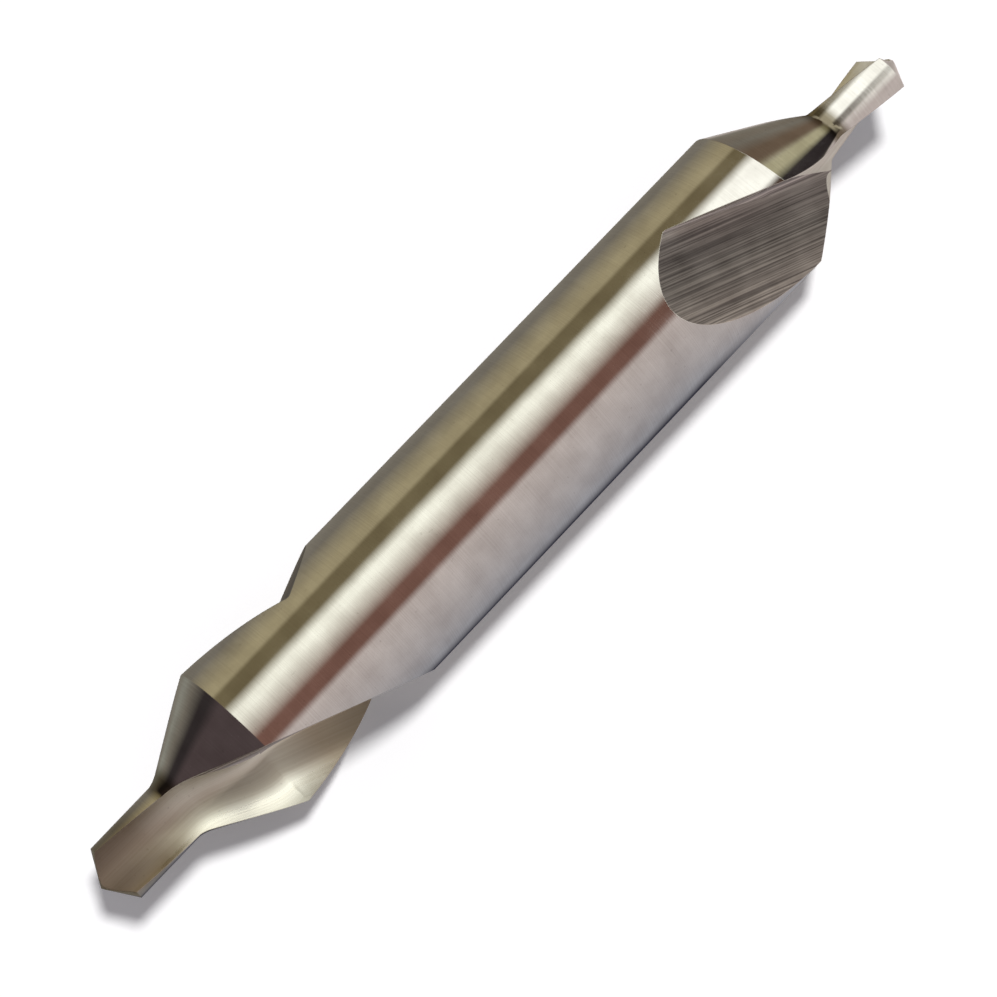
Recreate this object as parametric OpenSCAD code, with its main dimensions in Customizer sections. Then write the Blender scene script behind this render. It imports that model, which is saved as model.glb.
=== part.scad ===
// Double-ended centre drill: a ground shank with a 60 degree countersink and a pilot at each end.
// Lengths in mm. The axis lies along X, Z is up, and the origin is at mid length on the axis.

/* [Overall] */
// Tip to tip length
overall_length = 52.7; // [47:0.1:60]
// Diameter of the ground shank
shank_diameter = 8; // [7:0.05:10]

/* [Pilot] */
// Diameter of the pilot
pilot_diameter = 3.15; // [2.5:0.05:3.6]
// Small end of the countersink to the tip
pilot_length = 4.85; // [3.6:0.05:6]
// Included angle of the drill point
point_angle = 118; // [100:1:140]
// Drop of the pilot land from its cutting edge to its heel
pilot_relief = 0.05; // [0.02:0.01:0.12]

/* [Countersink] */
// Included angle of the countersink
countersink_angle = 60; // [56:1:90]
// Drop of the right countersink's land from its cutting edge to its heel
right_countersink_relief = 0.28; // [0.04:0.01:0.32]
// Drop of the left countersink's land from its cutting edge to its heel
left_countersink_relief = 0.04; // [0.02:0.01:0.32]
// Radius of the neck between the countersink and the pilot
neck_radius = 2; // [1:0.1:3]

/* [Flute along the countersink and pilot] */
// Lead of the right-hand twist
flute_lead = 57.6; // [45:0.2:90]
// Web left between the two flutes of the pilot
web_thickness = 0.4; // [0.25:0.05:0.7]
// Root radius of the flute along the pilot
pilot_root_radius = 1.36; // [1:0.02:1.7]
// Lean of the back wall along the pilot
pilot_back_lean = 13; // [6:0.5:18]
// Rake wall behind the axis along the pilot
pilot_rake_drop = 0.12; // [0:0.01:0.2]

/* [Flute run-out on the shank] */
// Slope at which the ground floor rises out of the shank
runout_angle = 24.2; // [20:0.2:32]
// Sideways slant of the ground groove
runout_slant = 20.6; // [16:0.2:28]
// Height of the groove root over the axis at the shoulder
shoulder_root_height = 0.72; // [0.4:0.02:1]
// Root of the groove behind the axis at the shoulder
shoulder_root_drop = 0.32; // [0.2:0.02:0.5]
// Root radius of the groove at the shoulder
shoulder_root_radius = 0.6; // [0.4:0.02:0.9]
// Root radius of the groove where it runs out
groove_root_radius = 0.12; // [0.1:0.01:0.3]
// Lean of the rake wall of the groove
groove_rake_lean = 6; // [2:0.5:10]
// Lean of the back wall of the groove
groove_back_lean = -5.6; // [-10:0.2:0]
// Way behind the shoulder in which the twist of the rake wall dies away
ease_length = 0.9; // [0.6:0.1:1.5]

/* [Turn of each end] */
// Cutting edge of the right end, turned from the top
right_end_turn = 13.8; // [0:0.2:180]
// Cutting edge of the left end, turned from the top
left_end_turn = 72.2; // [0:0.2:180]

/* [Hidden] */
$fn = 96;
shank_radius = shank_diameter / 2;
pilot_radius = pilot_diameter / 2;
cone_slope = tan(countersink_angle / 2);
cone_length = (shank_radius - pilot_radius) / cone_slope;
point_height = pilot_radius / tan(point_angle / 2);
tip_x = overall_length / 2;
cone_end_x = tip_x - pilot_length;
shoulder_x = cone_end_x - cone_length;
// The relief of the two point flanks takes a little off their common apex
corner_x = tip_x - point_height + pilot_relief / tan(point_angle / 2);
cone_apex_x = shoulder_x + shank_radius / cone_slope;
// The neck runs into a core that stays inside the relieved pilot
core_radius = pilot_radius - pilot_relief - 0.01;
neck_end_x = cone_apex_x - core_radius / cone_slope + neck_radius * tan(countersink_angle / 4);
neck_steps = 6;
// Cutters run this far past the surfaces they cut
clear = 2;
wall_reach = 2 * shank_radius;
twist_rings = 34;
root_steps = 7;
// Turn of the shank's own seam, so that it runs out in a flute at both ends
seam_turn = 240;
// Turn that the rake wall loses behind the shoulder, about a line this far from the axis
ease_turn = 5;
ease_pivot = 0.9 * shank_radius;
ease_rings = 14;
groove_start_x = shoulder_x - shank_radius / tan(runout_angle) - clear;
groove_end_x = shoulder_x + cone_length;
// Turn of the flute per mm, and half way along the countersink and the pilot
twist_rate = 360 / flute_lead;
cone_mid_turn = twist_rate * cone_length / 2;
pilot_mid_turn = twist_rate * (cone_length + pilot_length / 2);
// Root of the pilot flute, placed so that the stated web is left at the axis
pilot_opening = 90 - pilot_back_lean;
arc_centre_z = pilot_root_radius - pilot_rake_drop;
arc_centre_y = sqrt(pow(pilot_root_radius + web_thickness / 2, 2) - pow(arc_centre_z, 2));
pilot_root_y = arc_centre_y - pilot_root_radius / tan(pilot_opening / 2);

// Flute section: a rake wall along y and a back wall along z, joined by a root arc
function section(root, rake, lean, radius) =
    let (w = [cos(rake), sin(rake)],
         b = [sin(lean), cos(lean)],
         opening = 90 - lean - rake,
         centre = root + (w + b) / norm(w + b) * radius / sin(opening / 2))
    concat([root + wall_reach * (w + b), root + wall_reach * w],
           [for (i = [0 : root_steps])
               let (a = rake - 90 - i * (180 - opening) / root_steps)
               centre + radius * [cos(a), sin(a)]],
           [root + wall_reach * b]);

function blend(from, to, share) = from + (to - from) * share;

function turned(points, x, angle) =
    [for (p = points) [x, p[0] * cos(angle) - p[1] * sin(angle), p[0] * sin(angle) + p[1] * cos(angle)]];

// Section at x ahead of the shoulder: it turns with the twist and deepens to the pilot's web
function twisted_ring(x) =
    let (way = min(1, (x - shoulder_x) / cone_length),
         share = way * way * (3 - 2 * way),
         root = [blend(shoulder_root_height, pilot_root_y, share),
                 -blend(shoulder_root_drop, pilot_rake_drop, share)])
    turned(section(root,
                   blend(groove_rake_lean, 0, share),
                   blend(groove_back_lean, pilot_back_lean, share),
                   blend(shoulder_root_radius, pilot_root_radius, share)),
           x, twist_rate * (x - shoulder_x));

// Section at x of the ground groove: a flat floor, and a rake wall that eases out of the twist
function groove_ring(x) =
    let (back = shoulder_x - x,
         fade = exp(-max(back, 0) / ease_length),
         rake = groove_rake_lean - ease_turn * (1 - fade),
         floor_at = [shoulder_root_height + back * tan(runout_angle),
                     -shoulder_root_drop - back * tan(runout_slant)],
         pivot = floor_at + [1, tan(groove_rake_lean)] * (ease_pivot - floor_at[0]),
         w = [cos(rake), sin(rake)],
         b = [sin(groove_back_lean), cos(groove_back_lean)],
         root = pivot + w * cross(floor_at - pivot, b) / cross(w, b))
    turned(section(root, rake, groove_back_lean, blend(groove_root_radius, shoulder_root_radius, fade)), x, 0);

module skin(rings) {
    count = len(rings);
    size = len(rings[0]);
    sides = [for (i = [0 : count - 2]) for (j = [0 : size - 1])
        let (a = i * size + j, b = i * size + (j + 1) % size)
        each [[a, b + size, a + size], [a, b, b + size]]];
    first = [for (j = [size - 1 : -1 : 0]) j];
    last = [for (j = [0 : size - 1]) (count - 1) * size + j];
    polyhedron([for (ring = rings) each ring], concat(sides, [first, last]), convexity = 4);
}

// The twisted length of a flute, from the shoulder past the tip
module twisted_flute() {
    run = tip_x + clear - shoulder_x;
    skin([for (i = [0 : twist_rings]) twisted_ring(shoulder_x + run * i / twist_rings)]);
}

// The ground groove that carries the flute out on the shank
module runout_groove() {
    run = shoulder_x - groove_start_x;
    skin(concat([for (i = [ease_rings : -1 : 0]) groove_ring(shoulder_x - run * pow(i / ease_rings, 2))],
                [groove_ring(groove_end_x)]));
}

module along_x() {
    rotate([0, 90, 0]) rotate_extrude() children();
}

// Two copies moved apart leave each land full at its edge and lower at its heel
module relieved(turn, drop) {
    intersection() {
        rotate([turn - 90, 0, 0]) translate([0, drop, 0]) children();
        rotate([turn + 90, 0, 0]) translate([0, drop, 0]) children();
    }
}

module countersink_form() {
    wide = shank_radius + clear;
    neck = [for (i = [0 : neck_steps])
        let (a = countersink_angle / 2 * (1 - i / neck_steps))
        [core_radius + neck_radius * (1 - cos(a)), neck_end_x - neck_radius * sin(a)]];
    along_x() polygon(concat([[0, -tip_x - clear], [wide, -tip_x - clear], [wide, cone_apex_x - wide / cone_slope]],
                             neck, [[0, neck_end_x]]));
}

module pilot_form() {
    along_x() polygon([[0, 0], [pilot_radius, 0], [pilot_radius, corner_x], [0, corner_x + point_height]]);
}

// Puts a thing made with its tip to +X at both ends, each with its own turn
module both_ends() {
    rotate([90 + right_end_turn, 0, 0]) children();
    rotate([0, 0, 180]) rotate([90 + left_end_turn, 0, 0]) children();
}

module blank() {
    intersection() {
        rotate([seam_turn, 0, 0]) along_x()
            polygon([[0, -tip_x], [shank_radius, -tip_x], [shank_radius, tip_x], [0, tip_x]]);
        rotate([90 + right_end_turn, 0, 0])
            relieved(cone_mid_turn, right_countersink_relief) countersink_form();
        rotate([0, 0, 180]) rotate([90 + left_end_turn, 0, 0])
            relieved(cone_mid_turn, left_countersink_relief) countersink_form();
    }
    both_ends() relieved(pilot_mid_turn, pilot_relief) pilot_form();
}

// Each end has two flutes, half a turn apart
module each_flute() {
    both_ends() {
        children();
        rotate([180, 0, 0]) children();
    }
}

module centre_drill() {
    color("silver") difference() {
        difference() {
            blank();
            each_flute() runout_groove();
        }
        each_flute() twisted_flute();
    }
}

centre_drill();
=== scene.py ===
import bpy
import numpy as np
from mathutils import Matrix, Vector


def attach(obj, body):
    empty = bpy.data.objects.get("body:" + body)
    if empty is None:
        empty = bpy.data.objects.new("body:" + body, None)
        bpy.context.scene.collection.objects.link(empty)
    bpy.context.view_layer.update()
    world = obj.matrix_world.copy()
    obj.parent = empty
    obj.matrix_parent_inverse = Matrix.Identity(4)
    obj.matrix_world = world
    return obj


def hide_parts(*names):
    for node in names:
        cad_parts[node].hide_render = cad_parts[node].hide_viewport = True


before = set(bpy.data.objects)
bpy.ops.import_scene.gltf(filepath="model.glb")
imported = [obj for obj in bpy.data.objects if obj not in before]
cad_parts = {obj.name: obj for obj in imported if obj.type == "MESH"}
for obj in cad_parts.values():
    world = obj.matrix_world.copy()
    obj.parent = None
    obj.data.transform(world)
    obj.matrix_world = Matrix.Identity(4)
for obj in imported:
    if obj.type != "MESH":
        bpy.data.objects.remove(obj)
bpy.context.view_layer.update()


# Turned blank
# The drill starts as a round bar of high-speed steel, cylindrically ground on the shank.
# Each end is turned to a sixty degree countersink and a pilot with a drill point, and the
# lands are ground a little lower behind their cutting edges.
MM = 0.001
shank_radius = 4.0
pilot_radius = 1.575
tip_x = 26.35
pilot_length = 4.85
half_countersink = 30.0
half_point = 59.0
flute_lead = 57.6
core_clearance = 0.01
blank_columns = 720
shank_steps = 12
cone_steps = 60
pilot_steps = 8
point_steps = 10
cone_slope = np.tan(np.radians(half_countersink))
cone_length = (shank_radius - pilot_radius) / cone_slope
shoulder_x = tip_x - pilot_length - cone_length
cone_apex_x = shoulder_x + shank_radius / cone_slope
point_slope = np.tan(np.radians(half_point))
pilot_drop = 0.05
right_cone_drop = 0.28
left_cone_drop = 0.04
neck_radius = 2.0
core_radius = pilot_radius - pilot_drop - core_clearance
neck_touch = neck_radius * np.tan(np.radians(half_countersink / 2))
neck_corner_x = cone_apex_x - core_radius / cone_slope
neck_end_x = neck_corner_x + neck_touch
corner_x = tip_x - pilot_radius / point_slope + pilot_drop / point_slope
point_apex_x = corner_x + pilot_radius / point_slope
twist_rate = 360.0 / flute_lead
cone_edge_turn = twist_rate * cone_length / 2
pilot_edge_turn = twist_rate * (cone_length + pilot_length / 2)
right_end_turn = 13.8
left_end_turn = 72.2


def relieved(radius, turn, edge_turn, drop):
    """Radius of a land that is full at its cutting edge and falls off behind it.

    Two circles are moved apart by the drop, each away from one edge, and the nearer one counts:
    the root of radius squared less the drop's share along the edge squared, less its share across.
    """
    off = np.radians(turn - edge_turn)
    return np.sqrt(radius ** 2 - (drop * np.cos(off)) ** 2) - drop * np.abs(np.sin(off))


def bare_radius(land, turn, edge_turn, drop):
    """The radius before relief that leaves the given land radius: the formula above, turned round."""
    off = np.radians(turn - edge_turn)
    return np.sqrt((land + drop * np.abs(np.sin(off))) ** 2 + (drop * np.cos(off)) ** 2)


def cone_radius(x):
    """Bare radius of the countersink: a straight cone, then a neck arc that touches the pilot's core."""
    cone = (cone_apex_x - x) * cone_slope
    from_end = np.clip(neck_end_x - x, 0, neck_radius)
    neck = core_radius + neck_radius - np.sqrt(neck_radius ** 2 - from_end ** 2)
    neck_start_x = neck_corner_x - neck_touch * np.cos(np.radians(half_countersink))
    return np.where(x < neck_start_x, cone, neck)


def turned_end(turn, cone_drop):
    """Stations x and radii of one end, from mid length to the tip, for each turn round the axis.

    The shank meets the countersink at an edge that moves with the relief, so that it stays crisp.
    Where the neck dips below the pilot's land the pilot counts, and straight lines go on to the tip.
    """
    pilot_land = relieved(pilot_radius, turn, pilot_edge_turn, pilot_drop)
    edge = cone_apex_x - bare_radius(shank_radius, turn, cone_edge_turn, cone_drop) / cone_slope
    shank_share = np.linspace(0, 1, shank_steps, endpoint=False)[:, None]
    cone_share = np.linspace(0, 1, cone_steps, endpoint=False)[:, None]
    pilot_share = np.linspace(0, 1, pilot_steps, endpoint=False)[:, None]
    point_share = np.linspace(0, 1, point_steps, endpoint=False)[:, None]
    shank_x = edge * shank_share
    cone_x = edge + (neck_end_x - edge) * cone_share
    pilot_x = neck_end_x + (corner_x - neck_end_x) * pilot_share + 0 * turn
    point_x = corner_x + (tip_x - corner_x) * point_share + 0 * turn
    cone_land = relieved(cone_radius(cone_x), turn, cone_edge_turn, cone_drop)
    cone_land = np.maximum(cone_land, pilot_land)
    point_land = relieved((point_apex_x - point_x) * point_slope, turn, pilot_edge_turn, pilot_drop)
    x = np.concatenate([shank_x, cone_x, pilot_x, point_x])
    radius = np.concatenate([shank_radius + 0 * shank_x, cone_land, pilot_land + 0 * pilot_x, point_land])
    return x, radius


def grid_faces(rows, columns):
    """Quads of a grid that is closed round its columns, as rows of four vertex numbers."""
    row, column = np.meshgrid(np.arange(rows - 1), np.arange(columns), indexing="ij")
    after = (column + 1) % columns
    quads = np.stack([row * columns + column, row * columns + after,
                      (row + 1) * columns + after, (row + 1) * columns + column], axis=-1)
    return quads.reshape(-1, 4)


def lay_grind(mesh, corner_places):
    """Stores the places of all face corners, in mm along and across the grinding lines, as a UV map."""
    layer = mesh.uv_layers.new(name="grind")
    layer.data.foreach_set("uv", np.concatenate([c.reshape(-1) for c in corner_places]))


def blank_mesh(columns):
    """The blank from the left tip to the right one: the two ends' grids, joined at mid length.

    A point is x along the axis, and its radius times the cosine and sine of its turn from +Y to +Z.
    Its place in the grinding map is its arc round the shank, and x.
    """
    turn = np.arange(columns) * 360.0 / columns
    right_x, right_radius = turned_end(turn - 90 - right_end_turn, right_cone_drop)
    left_x, left_radius = turned_end(90 - left_end_turn - turn, left_cone_drop)
    x = np.concatenate([-left_x[:0:-1], right_x])
    radius = np.concatenate([left_radius[:0:-1], right_radius])
    rad = np.radians(turn)
    points = np.stack([x, radius * np.cos(rad), radius * np.sin(rad)], axis=-1).reshape(-1, 3)
    rows = len(x)
    tips = np.array([[-tip_x, 0, 0], [tip_x, 0, 0]])
    first = np.arange(columns)
    after = (first + 1) % columns
    last_row = (rows - 1) * columns
    quads = grid_faces(rows, columns)
    left_fan = np.stack([after, first, np.full(columns, rows * columns)], axis=-1)
    right_fan = np.stack([last_row + first, last_row + after, np.full(columns, rows * columns + 1)], axis=-1)
    mesh = bpy.data.meshes.new("blank")
    faces = quads.tolist() + left_fan.tolist() + right_fan.tolist()
    all_points = np.concatenate([points, tips])
    mesh.from_pydata((all_points * MM).tolist(), [], faces)
    arc = np.radians(360.0 / columns) * shank_radius
    quad_arc = (quads[:, :1] % columns + np.array([0, 1, 1, 0])) * arc
    left_arc = (first[:, None] + np.array([1, 0, 0.5])) * arc
    right_arc = (first[:, None] + np.array([0, 1, 0.5])) * arc
    lay_grind(mesh, [np.stack([quad_arc, all_points[quads][..., 0]], axis=-1),
                     np.stack([left_arc, all_points[left_fan][..., 0]], axis=-1),
                     np.stack([right_arc, all_points[right_fan][..., 0]], axis=-1)])
    mesh.update()
    return mesh


drill = bpy.data.objects.new("drill", blank_mesh(blank_columns))
bpy.context.scene.collection.objects.link(drill)


# Flutes
# Two right-hand flutes are ground into each end. A flute twists along the pilot and the
# countersink, and at the shoulder a grinding wheel carries it out on the shank as a straight,
# slanted groove with a flat floor.
web_thickness = 0.4
pilot_root_radius = 1.36
pilot_back_lean = 13.0
pilot_rake_drop = 0.12
runout_angle = 24.2
runout_slant = 20.6
shoulder_root_height = 0.72
shoulder_root_drop = 0.32
shoulder_root_radius = 0.6
groove_root_radius = 0.12
groove_rake_lean = 6.0
groove_back_lean = -5.6
ease_turn = 5.0
ease_way = 0.9
pivot_height = 3.6
wall_reach = 8.0
clear = 2.0
cut_lean = 25.0
groove_rows = 60
groove_arc_points = 14
groove_wall_points = 12
flute_rows = 150
flute_arc_points = 22
flute_wall_points = 14
sharp_edge = 18.0
runout_rise = np.tan(np.radians(runout_angle))
runout_slide = np.tan(np.radians(runout_slant))
arc_centre_z = pilot_root_radius - pilot_rake_drop
arc_centre_y = np.sqrt((pilot_root_radius + web_thickness / 2) ** 2 - arc_centre_z ** 2)
pilot_root_y = arc_centre_y - pilot_root_radius / np.tan(np.radians(90 - pilot_back_lean) / 2)


def walls(rake, lean):
    """Directions of the rake wall and the back wall in the section plane, as rows of y and z."""
    rake, lean = np.radians(rake), np.radians(lean)
    along_rake = np.stack([np.cos(rake), np.sin(rake)], axis=-1)
    along_back = np.stack([np.sin(lean), np.cos(lean)], axis=-1)
    return along_rake, along_back


def flute_shape(x):
    """Root point, wall leans, root radius, turn and floor slip of the twisted flute at stations x.

    All go from the groove's values at the shoulder to the pilot's at the small end of the
    countersink by a smooth step, three times the way squared less twice its cube.
    """
    way = np.clip((x - shoulder_x) / cone_length, 0, 1)
    share = way ** 2 * (3 - 2 * way)
    root_y = shoulder_root_height + (pilot_root_y - shoulder_root_height) * share
    root_z = -shoulder_root_drop + (shoulder_root_drop - pilot_rake_drop) * share
    rake = groove_rake_lean * (1 - share)
    lean = groove_back_lean + (pilot_back_lean - groove_back_lean) * share
    root_radius = shoulder_root_radius + (pilot_root_radius - shoulder_root_radius) * share
    root = np.stack([root_y, root_z], axis=-1)
    return root, rake, lean, root_radius, twist_rate * (x - shoulder_x), 0 * x


def groove_shape(x):
    """The same values of the ground groove: its flat floor rises and slides with a steady slope.

    Behind the shoulder the rake wall still turns with the twist, about a line near the shank's
    surface, and the turn dies away by an exponential. The root is where the wall crosses the floor.
    """
    back = shoulder_x - x
    same = np.ones_like(x)
    floor_y = shoulder_root_height + back * runout_rise
    floor_z = -shoulder_root_drop - back * runout_slide
    floor_at = np.stack([floor_y, floor_z], axis=-1)
    fade = np.exp(-np.maximum(back, 0) / ease_way)
    turn = -ease_turn * (1 - fade)
    straight, along_floor = walls(groove_rake_lean * same, groove_back_lean * same)
    along_rake, along_floor = walls(groove_rake_lean + turn, groove_back_lean * same)
    pivot = floor_at + straight * ((pivot_height - floor_at[:, 0]) / straight[:, 0])[:, None]
    gap = floor_at - pivot
    way = gap[:, 0] * along_floor[:, 1] - gap[:, 1] * along_floor[:, 0]
    way = way / (along_rake[:, 0] * along_floor[:, 1] - along_rake[:, 1] * along_floor[:, 0])
    root = pivot + along_rake * way[:, None]
    radius = groove_root_radius + (shoulder_root_radius - groove_root_radius) * fade
    slip = ((root - floor_at) * along_floor).sum(axis=-1)
    return root, groove_rake_lean + turn, groove_back_lean * same, radius, 0 * same, slip


def cutter_rings(x, shape, arc_points, wall_points):
    """Closed sections of a cutter at stations x: a rake wall, a root arc and a back wall.

    The arc touches both walls. Each section is turned about the axis by the flute's own turn.
    The second result is each point's place in the grinding map: the way along the cut, and the
    distance from the root along the section, negative on the rake wall.
    """
    root, rake, lean, radius, turn, slip = shape(x)
    along_rake, along_back = walls(rake, lean)
    opening = np.radians(90 - lean - rake)[:, None, None]
    middle = along_rake + along_back
    middle = middle / np.linalg.norm(middle, axis=-1, keepdims=True)
    centre = root + middle * (radius / np.sin(opening[:, 0, 0] / 2))[:, None]
    touch = (radius / np.tan(opening[:, 0, 0] / 2))[:, None, None]
    part = np.linspace(1, 0, wall_points)[None, :, None]
    reach = touch + (wall_reach - touch) * part
    rake_wall = root[:, None] + along_rake[:, None] * reach
    back_wall = root[:, None] + along_back[:, None] * reach[:, ::-1]
    sweep = np.linspace(0, 1, arc_points + 2)[None, 1:-1, None]
    angle = np.radians(rake)[:, None, None] - np.pi / 2 - sweep * (np.pi - opening)
    arc = centre[:, None] + radius[:, None, None] * np.concatenate([np.cos(angle), np.sin(angle)], axis=-1)
    far = (root + wall_reach * (along_rake + along_back))[:, None]
    section = np.concatenate([far, rake_wall, arc, back_wall], axis=1)
    slip = slip[:, None]
    across = np.concatenate([0 * slip, -reach[..., 0], (touch * (2 * sweep - 1))[..., 0],
                             reach[:, ::-1, 0] + slip], axis=1)
    along = x[:, None] / np.cos(np.radians(cut_lean)) + 0 * across
    swing = np.radians(turn)[:, None]
    y = section[..., 0] * np.cos(swing) - section[..., 1] * np.sin(swing)
    z = section[..., 0] * np.sin(swing) + section[..., 1] * np.cos(swing)
    return np.stack([x[:, None] + 0 * y, y, z], axis=-1), np.stack([along, across], axis=-1)


def placed(points, end, half_turn):
    """Points of an end that was made with its tip to +X, turned into place at the named end."""
    turn = np.radians(90 + (right_end_turn if end == "right" else left_end_turn) + half_turn)
    x, y, z = points[..., 0], points[..., 1], points[..., 2]
    turned_y = y * np.cos(turn) - z * np.sin(turn)
    turned_z = y * np.sin(turn) + z * np.cos(turn)
    side = 1.0 if end == "right" else -1.0
    return np.stack([side * x, side * turned_y, turned_z], axis=-1)


def cutters(name, x, shape, arc_points, wall_points, back_finish):
    """One mesh with the four closed cutters of one kind, two at each end.

    What the back wall and the last two thirds of the arc cut takes the finish numbered back_finish,
    and the rest takes the flute's.
    """
    rings, places = cutter_rings(x, shape, arc_points, wall_points)
    rows, columns = rings.shape[:2]
    sides = grid_faces(rows, columns)[:, ::-1]
    caps = [np.arange(columns), np.arange(columns)[::-1] + (rows - 1) * columns]
    back_start = wall_points + arc_points // 3
    on_back = sides.min(axis=1) % columns > back_start
    side_finish = np.where(on_back, back_finish, flute_finish)
    points, faces, finishes, corners = [], [], [], []
    for place, (end, half_turn) in enumerate((e, h) for e in ("right", "left") for h in (0, 180)):
        points.append(placed(rings, end, half_turn).reshape(-1, 3))
        faces += (sides + place * rows * columns).tolist()
        faces += [(cap + place * rows * columns).tolist() for cap in caps]
        finishes += side_finish.tolist() + [flute_finish, flute_finish]
        flat = places.reshape(-1, 2)
        corners += [flat[sides], flat[caps[0]], flat[caps[1]]]
    mesh = bpy.data.meshes.new(name)
    mesh.from_pydata((np.concatenate(points) * MM).tolist(), [], faces)
    mesh.polygons.foreach_set("material_index", finishes)
    lay_grind(mesh, corners)
    mesh.update()
    cutter = bpy.data.objects.new(name, mesh)
    bpy.context.scene.collection.objects.link(cutter)
    return cutter


# Numbers of the finishes that the cutters leave; what they don't touch keeps the first one
floor_finish = 1
flute_finish = 2
groove_start_x = shoulder_x - shank_radius / runout_rise - clear
groove_x = np.linspace(groove_start_x, shoulder_x, groove_rows)
groove_x = np.concatenate([groove_x, [shoulder_x + cone_length]])
groove_cutter = cutters("groove_cutter", groove_x, groove_shape, groove_arc_points, groove_wall_points,
                        floor_finish)
flute_x = np.linspace(shoulder_x, tip_x + clear, flute_rows)
flute_cutter = cutters("flute_cutter", flute_x, flute_shape, flute_arc_points, flute_wall_points,
                       flute_finish)
finishes = [bpy.data.materials.new(name) for name in ("turned_steel", "ground_floor", "flute_steel")]
for finish in finishes:
    for cut_object in (drill, groove_cutter, flute_cutter):
        cut_object.data.materials.append(finish)

for cutter in (groove_cutter, flute_cutter):
    cut = drill.modifiers.new(cutter.name, "BOOLEAN")
    cut.operation = "DIFFERENCE"
    cut.solver = "MANIFOLD"
    cut.material_mode = "INDEX"
    cut.object = cutter
depsgraph = bpy.context.evaluated_depsgraph_get()
cut_mesh = bpy.data.meshes.new_from_object(drill.evaluated_get(depsgraph))
drill.modifiers.clear()
drill.data = cut_mesh
for cutter in (groove_cutter, flute_cutter):
    bpy.data.objects.remove(cutter)
cut_mesh.name = "drill"
cut_mesh.shade_smooth()
cut_mesh.set_sharp_from_angle(angle=np.radians(sharp_edge))

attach(drill, "root")
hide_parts("centre_drill")


# Steel finishes
# Bright high-speed steel in three finishes: fine lines round the turned shank, cones and pilots, coarse
# straight lines on the ground groove floors, and satin lines along the twisted flutes. All edges are a
# little rounded and worn brighter. Painted shade darkens the necks, the groove floors near their roots
# and the left flutes behind the shoulder, and a painted highlight lies along each flute's rake wall. The
# left tip is also darker.
mottle_scale = 700.0
mottle_spread = (0.3, 0.7)
line_spread = (0.36, 0.64)
speck_scale = 5200.0
speck_spread = (0.72, 0.80)
speck_share = 0.15
speck_brown = (0.12, 0.10, 0.09, 1.0)
edge_radius = 0.04
edge_spread = (0.995, 0.93)
wear_share = 0.6
worn_steel = (0.80, 0.78, 0.74, 1.0)


def plain_light(colour):
    """Light of a solid colour that is given as it looks on a screen, from 0 to 255."""
    value = np.array(colour) / 255.0
    light = np.where(value <= 0.04045, value / 12.92, ((value + 0.055) / 1.055) ** 2.4)
    return (*light, 1.0)


def share_of(tree, source, low, high, to_low=0.0, to_high=1.0):
    """A value of the tree, moved from the range low to high into the range to_low to to_high."""
    node = tree.nodes.new("ShaderNodeMapRange")
    node.inputs["From Min"].default_value = low
    node.inputs["From Max"].default_value = high
    node.inputs["To Min"].default_value = to_low
    node.inputs["To Max"].default_value = to_high
    tree.links.new(source, node.inputs["Value"])
    return node.outputs[0]


def shade_along(tree, place, stops, unit=1.0):
    """A colour that changes in straight steps along a place of the tree.

    The stops are pairs of a place, in the given unit, and a screen colour, in order. Past both ends
    the colour stays as it is.
    """
    first, last = stops[0][0], stops[-1][0]
    ramp = tree.nodes.new("ShaderNodeValToRGB")
    elements = ramp.color_ramp.elements
    elements[0].color = plain_light(stops[0][1])
    elements[1].color = plain_light(stops[-1][1])
    for stop, colour in stops[1:-1]:
        elements.new((stop - first) / (last - first)).color = plain_light(colour)
    tree.links.new(share_of(tree, place, first * unit, last * unit), ramp.inputs[0])
    return ramp.outputs[0]


def mixed(tree, share, first, second, mode="MIX"):
    """Two colours of the tree, or a colour and a fixed one, joined in the given mode by a share."""
    node = tree.nodes.new("ShaderNodeMix")
    node.data_type = "RGBA"
    node.blend_type = mode
    for name, value in (("Factor_Float", share), ("A_Color", first), ("B_Color", second)):
        socket = next(s for s in node.inputs if s.identifier == name)
        if isinstance(value, bpy.types.NodeSocket):
            tree.links.new(value, socket)
        else:
            socket.default_value = value
    return next(s for s in node.outputs if s.identifier == "Result_Color")


def joined(tree, operation, first, second):
    """Two values of the tree, joined by the named operation."""
    node = tree.nodes.new("ShaderNodeMath")
    node.operation = operation
    tree.links.new(first, node.inputs[0])
    tree.links.new(second, node.inputs[1])
    return node.outputs[0]


def noise(tree, place, scale, detail):
    """A soft noise with the given scale at a place of the tree."""
    node = tree.nodes.new("ShaderNodeTexNoise")
    node.inputs["Scale"].default_value = scale
    node.inputs["Detail"].default_value = detail
    tree.links.new(place, node.inputs["Vector"])
    return node.outputs[0]


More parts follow.
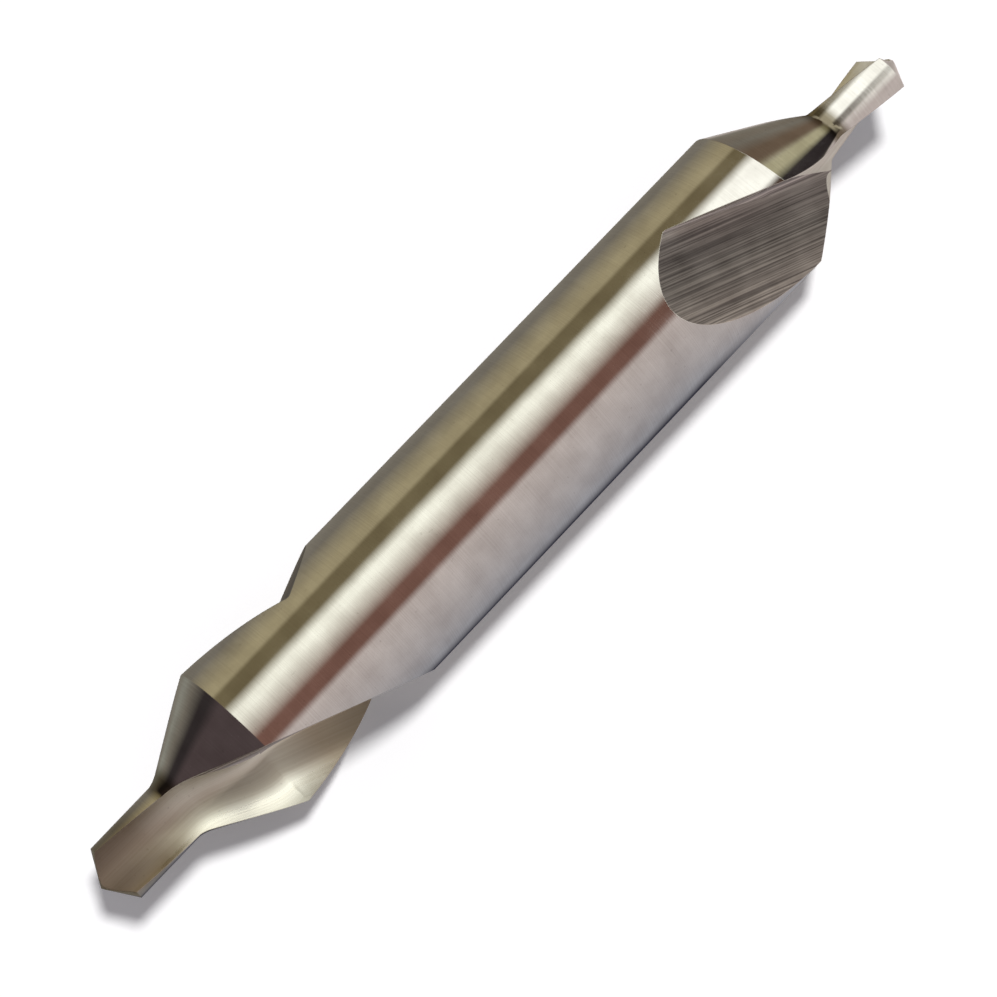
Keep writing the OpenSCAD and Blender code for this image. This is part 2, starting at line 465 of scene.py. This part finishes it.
def steel_finish(material, dark, pale, across_stops, lines_per_mm, line_length, line_share, line_height,
                 roughness, rougher=(), along_stops=()):
    """Ground steel: lines from the grinding map, mottled colour and roughness, specks and worn edges.

    The colour goes between a dark and a pale shade with the lines and a mottle, and is multiplied by
    painted light and shade across the cut and, if given, along the axis, both in mm. The lines stand up
    by line_height in metres. Edges are where the rounded normal leaves the flat one. Each entry of
    rougher adds to the roughness along an axis of the grinding map: the axis, where it starts, where it
    is full, how much.
    """
    material.use_nodes = True
    tree = material.node_tree
    shader = tree.nodes["Principled BSDF"]
    shader.inputs["Metallic"].default_value = 1.0
    grind = tree.nodes.new("ShaderNodeUVMap")
    grind.uv_map = "grind"
    stretch = tree.nodes.new("ShaderNodeMapping")
    stretch.inputs["Scale"].default_value = (1 / line_length, lines_per_mm, 1.0)
    tree.links.new(grind.outputs[0], stretch.inputs["Vector"])
    lines = noise(tree, stretch.outputs[0], 1.0, 3.0)
    body = tree.nodes.new("ShaderNodeTexCoord").outputs["Object"]
    mottle = noise(tree, body, mottle_scale, 4.0)
    specks = noise(tree, body, speck_scale, 1.0)
    streak = share_of(tree, lines, *line_spread)
    cloud = share_of(tree, mottle, *mottle_spread)
    blend = mixed(tree, 1 - line_share, streak, cloud)
    colour = mixed(tree, blend, plain_light(dark), plain_light(pale))
    colour = mixed(tree, share_of(tree, specks, *speck_spread, 0.0, speck_share), colour, speck_brown)
    rounded = tree.nodes.new("ShaderNodeBevel")
    rounded.samples = 4
    rounded.inputs["Radius"].default_value = edge_radius * MM
    flat = tree.nodes.new("ShaderNodeNewGeometry")
    edge = tree.nodes.new("ShaderNodeVectorMath")
    edge.operation = "DOT_PRODUCT"
    tree.links.new(rounded.outputs[0], edge.inputs[0])
    tree.links.new(flat.outputs["Normal"], edge.inputs[1])
    wear = share_of(tree, edge.outputs["Value"], *edge_spread, 0.0, wear_share)
    colour = mixed(tree, wear, colour, worn_steel)
    places = tree.nodes.new("ShaderNodeSeparateXYZ")
    tree.links.new(grind.outputs[0], places.inputs[0])
    # Painted light and shade across the cut multiply the colour
    colour = mixed(tree, 1.0, colour, shade_along(tree, places.outputs["Y"], across_stops), "MULTIPLY")
    # Where given, painted shade along the axis multiplies it too
    if along_stops:
        axis = tree.nodes.new("ShaderNodeSeparateXYZ")
        tree.links.new(body, axis.inputs[0])
        colour = mixed(tree, 1.0, colour, shade_along(tree, axis.outputs["X"], along_stops, MM), "MULTIPLY")
    tree.links.new(colour, shader.inputs["Base Color"])
    rough = share_of(tree, mottle, *mottle_spread, *roughness)
    for axis_name, start, full, more in rougher:
        added = share_of(tree, places.outputs[axis_name], start, full, 0.0, more)
        rough = joined(tree, "ADD", rough, added)
    tree.links.new(rough, shader.inputs["Roughness"])
    bump = tree.nodes.new("ShaderNodeBump")
    bump.inputs["Distance"].default_value = line_height
    tree.links.new(lines, bump.inputs["Height"])
    tree.links.new(rounded.outputs[0], bump.inputs["Normal"])
    tree.links.new(bump.outputs[0], shader.inputs["Normal"])


bare = (255, 255, 255)
# Painted shade on the turned steel: a dark band round each neck, where the countersink runs into the pilot.
# The same ramp makes the left pilot and point darker towards the tip.
painted_neck_dark = (150, 142, 124)
painted_neck_shade = [(-24.0, (200, 192, 178)), (-22.08, (248, 246, 243)), (-21.7, painted_neck_dark), (-21.12, painted_neck_dark),
                (-20.74, bare), (20.74, bare), (21.12, painted_neck_dark), (21.7, painted_neck_dark), (22.08, bare), (24.0, bare)]
# Painted shade across the groove floors, in mm from the root: darkest one to three mm out, and back to full
# brightness by about five mm.
painted_groove_shade = [(-0.04, bare), (0.32, (222, 219, 218)), (1.28, (188, 185, 184)), (2.72, (192, 190, 187)),
               (3.92, (216, 212, 208)), (5.36, (250, 245, 240)), (8.0, (255, 250, 245))]
# Painted highlight and shade across the flutes, in mm from the root and negative on the rake wall: a bright
# band about two mm out on the rake wall and another at the root, a darker band between them, and darker at
# the cutting edge and on the back wall.
painted_flute_highlight = [(-3.04, (206, 204, 200)), (-2.44, (246, 245, 243)), (-2.08, bare), (-1.6, (240, 238, 235)),
           (-1.12, (225, 222, 218)), (-0.16, (250, 249, 247)), (0.8, (236, 235, 233)), (8.0, (232, 231, 229))]
# Painted shade along the left flutes, in mm of x: darker on the groove behind the left shoulder and fading
# out towards mid length. The left pilot's flutes also get darker towards the tip.
painted_flute_shade = [(-26.3, (185, 170, 160)), (-23.5, (205, 195, 185)), (-21.0, (255, 255, 250)),
                 (-17.0, (255, 255, 250)), (-15.0, (215, 205, 190)), (-12.0, (170, 160, 145)),
                 (0.0, bare), (26.3, bare)]
rough_tips = ("X", 25.0, 27.5, 0.16)
rough_roots = ("Y", -2.2, -1.5, 0.32)
turned_steel, ground_floor, flute_steel = finishes
steel_finish(turned_steel, dark=(204, 201, 199), pale=(232, 231, 230), across_stops=painted_neck_shade,
             lines_per_mm=22.0, line_length=5.0, line_share=0.3, line_height=0.6e-6, roughness=(0.05, 0.11))
steel_finish(ground_floor, dark=(124, 120, 121), pale=(220, 215, 214), across_stops=painted_groove_shade,
             lines_per_mm=9.5, line_length=9.0, line_share=0.85, line_height=8e-6, roughness=(0.30, 0.42))
steel_finish(flute_steel, dark=(236, 233, 228), pale=(255, 255, 254), across_stops=painted_flute_highlight,
             lines_per_mm=9.0, line_length=7.0, line_share=0.4, line_height=2e-6, roughness=(0.18, 0.27),
             rougher=(rough_tips, rough_roots), along_stops=painted_flute_shade)


# Floor
# A sheet of white paper that the drill lies on, made as one flat face. A faint glow of its own keeps it
# white to the camera, and it takes the drill's shadow.
floor_level = -shank_radius * MM
floor_half = 1.0
paper_white = (0.98, 0.98, 0.98, 1)
paper_glow = (1.0, 0.96, 0.98, 1)
paper_glow_strength = 0.08
floor_mesh = bpy.data.meshes.new("floor")
floor_mesh.from_pydata([(-floor_half, -floor_half, floor_level), (floor_half, -floor_half, floor_level),
                        (floor_half, floor_half, floor_level), (-floor_half, floor_half, floor_level)],
                       [], [(0, 1, 2, 3)])
floor = bpy.data.objects.new("floor", floor_mesh)
bpy.context.scene.collection.objects.link(floor)
floor.visible_glossy = False
floor_paper = bpy.data.materials.new("floor_paper")
floor_paper.use_nodes = True
paper = floor_paper.node_tree.nodes["Principled BSDF"]
paper.inputs["Base Color"].default_value = paper_white
paper.inputs["Roughness"].default_value = 0.9
paper.inputs["Specular IOR Level"].default_value = 0.0
paper.inputs["Emission Color"].default_value = paper_glow
paper.inputs["Emission Strength"].default_value = paper_glow_strength
floor_mesh.materials.append(floor_paper)


# Light tent
# Long coloured cards stand round the drill, and only its polished steel sees them. Six sets of them
# follow each other along an open tube, and in a set each card runs softly into the next. Their places
# are degrees round the drill from the side that faces the camera.
tent_radius = 0.3
tent_half_length = 2.4
tent_step = 3.0
steel_share = 0.72
view_lean = 9.8
tent_turns = np.radians(np.arange(0, 360, tent_step))
tent_columns = len(tent_turns)
tent_x = np.array([-tent_half_length, tent_half_length])
tent_points = np.stack([np.repeat(tent_x, tent_columns),
                        np.tile(tent_radius * np.cos(tent_turns), 2),
                        np.tile(tent_radius * np.sin(tent_turns), 2)], axis=-1)
tent_mesh = bpy.data.meshes.new("tent")
tent_mesh.from_pydata(tent_points.tolist(), [], grid_faces(2, tent_columns).tolist())
tent = bpy.data.objects.new("tent", tent_mesh)
bpy.context.scene.collection.objects.link(tent)
tent.visible_camera = False
tent.visible_diffuse = False
tent.visible_shadow = False
tent.visible_transmission = False

navy = (45, 45, 55)
slate = (140, 140, 145)
pale_grey = (180, 170, 165)
plum = (70, 60, 60)
black = (45, 40, 40)
taupe = (110, 105, 95)
stone = (130, 130, 120)
umber = (100, 85, 70)
olive = (105, 95, 70)
khaki = (150, 140, 110)
sage = (165, 160, 130)
ivory = (240, 240, 225)
white = (255, 255, 245)
brown = (110, 80, 70)
dark_brown = (65, 50, 40)
middle_cards = [(-187, navy), (-172, taupe), (-131, taupe), (-90, khaki), (-79, khaki), (-73, olive),
                (-55, olive), (-40, ivory), (-32, ivory), (2, brown), (18, brown), (27, pale_grey),
                (126, slate), (157, navy)]
left_cards = [(-165, taupe), (-143, stone), (-120, taupe), (-96, black), (-84, black), (-66, plum),
              (30, plum), (90, taupe), (165, taupe)]
right_cards = [(-165, taupe), (-131, taupe), (-90, khaki), (-79, khaki), (-73, olive), (-56, olive),
               (-42, white), (-9, white), (0, dark_brown), (12, dark_brown), (23, pale_grey),
               (100, pale_grey), (165, slate)]
rake_cards = [(-172, pale_grey), (-156, taupe), (-110, umber), (-95, umber), (-55, white), (24, white),
              (45, pale_grey), (165, pale_grey)]
runout_cards = [(-165, taupe), (-126, taupe), (-105, umber), (-82, umber), (-38, white), (-12, white),
                (18, taupe), (24, taupe), (45, pale_grey), (100, pale_grey), (165, slate)]
far_cards = [(-165, taupe), (-110, umber), (-90, umber), (-70, sage), (-46, sage), (-14, black),
             (42, black), (90, taupe), (165, taupe)]
# The middle cards lean round the drill by this many degrees, up to this place along the tent
card_slant = -9.5
slant_end = 0.11
# Each other set, with the places along the tent where it starts and where it has taken over
card_sets = ((left_cards, -0.03, -0.12), (right_cards, 0.086, 0.106), (rake_cards, 0.126, 0.146),
             (runout_cards, 0.25, 0.35), (far_cards, 0.6, 0.9))

cards = bpy.data.materials.new("cards")
cards.use_nodes = True
tree = cards.node_tree
tree.nodes.clear()
axes = tree.nodes.new("ShaderNodeSeparateXYZ")
tree.links.new(tree.nodes.new("ShaderNodeTexCoord").outputs["Object"], axes.inputs[0])
toward = tree.nodes.new("ShaderNodeMath")
toward.operation = "MULTIPLY"
toward.inputs[1].default_value = -1.0
tree.links.new(axes.outputs["Y"], toward.inputs[0])
turned = joined(tree, "ARCTAN2", toward.outputs[0], axes.outputs["Z"])
from_front = share_of(tree, turned, -np.pi, np.pi, -180 - view_lean, 180 - view_lean)
slant = share_of(tree, axes.outputs["X"], 0.0, slant_end, card_slant, 0.0)
light = shade_along(tree, joined(tree, "ADD", from_front, slant), middle_cards)
for stops, start, full in card_sets:
    taken_over = share_of(tree, axes.outputs["X"], start, full)
    light = mixed(tree, taken_over, light, shade_along(tree, from_front, stops))
glow = tree.nodes.new("ShaderNodeEmission")
glow.inputs["Strength"].default_value = 1 / steel_share
tree.links.new(light, glow.inputs["Color"])
surface = tree.nodes.new("ShaderNodeOutputMaterial")
tree.links.new(glow.outputs[0], surface.inputs["Surface"])
tent_mesh.materials.append(cards)


# Lamps
# One soft lamp shines from far overhead, a little to the right and the back, and the room fills in
# evenly. To the camera, and in metal and glass, the room is white.
lamp_strength = 2.4
lamp_spread = 10.0
lamp_lean_right = 11.5
lamp_lean_back = 2.5
room_colour = (0.95, 0.93, 1.0, 1)
room_strength = 0.26
lamp_data = bpy.data.lights.new("overhead", "SUN")
lamp_data.energy = lamp_strength
lamp_data.angle = np.radians(lamp_spread)
lamp = bpy.data.objects.new("overhead", lamp_data)
lamp.location = Vector((np.tan(np.radians(lamp_lean_right)), np.tan(np.radians(lamp_lean_back)), 1.0))
lamp.rotation_mode = "QUATERNION"
lamp.rotation_quaternion = (-lamp.location).to_track_quat("-Z", "Y")
lamp.visible_glossy = False
bpy.context.scene.collection.objects.link(lamp)
room = bpy.data.worlds.new("room")
room.use_nodes = True
tree = room.node_tree
fill = tree.nodes["Background"]
fill.inputs["Color"].default_value = room_colour
fill.inputs["Strength"].default_value = room_strength
white_room = tree.nodes.new("ShaderNodeBackground")
white_room.inputs["Color"].default_value = (1, 1, 1, 1)
path = tree.nodes.new("ShaderNodeLightPath")
sees_room = path.outputs["Is Camera Ray"]
for kind in ("Is Glossy Ray", "Is Transmission Ray"):
    sees_room = joined(tree, "MAXIMUM", sees_room, path.outputs[kind])
seen = tree.nodes.new("ShaderNodeMixShader")
tree.links.new(sees_room, seen.inputs["Fac"])
tree.links.new(fill.outputs[0], seen.inputs[1])
tree.links.new(white_room.outputs[0], seen.inputs[2])
tree.links.new(seen.outputs[0], tree.nodes["World Output"].inputs["Surface"])
bpy.context.scene.world = room


# Camera
# It looks steeply down on the drill from the front left, level with the horizon.
sensor_width = 36.0
photo_width_pixels = 997
focal_length_pixels = 3195.5
camera_place = Vector((-27.715, -24.905, 139.540))
camera_aim = Vector((-1.649, -0.802, 0.0))
camera_data = bpy.data.cameras.new("camera")
camera_data.sensor_width = sensor_width
camera_data.lens = sensor_width * focal_length_pixels / photo_width_pixels
camera_data.clip_start = 0.01
camera_data.clip_end = 10.0
camera = bpy.data.objects.new("camera", camera_data)
camera.location = camera_place * MM
camera.rotation_mode = "QUATERNION"
camera.rotation_quaternion = (camera_aim - camera_place).to_track_quat("-Z", "Y")
bpy.context.scene.collection.objects.link(camera)
bpy.context.scene.camera = camera
bpy.context.scene.view_settings.view_transform = "Standard"
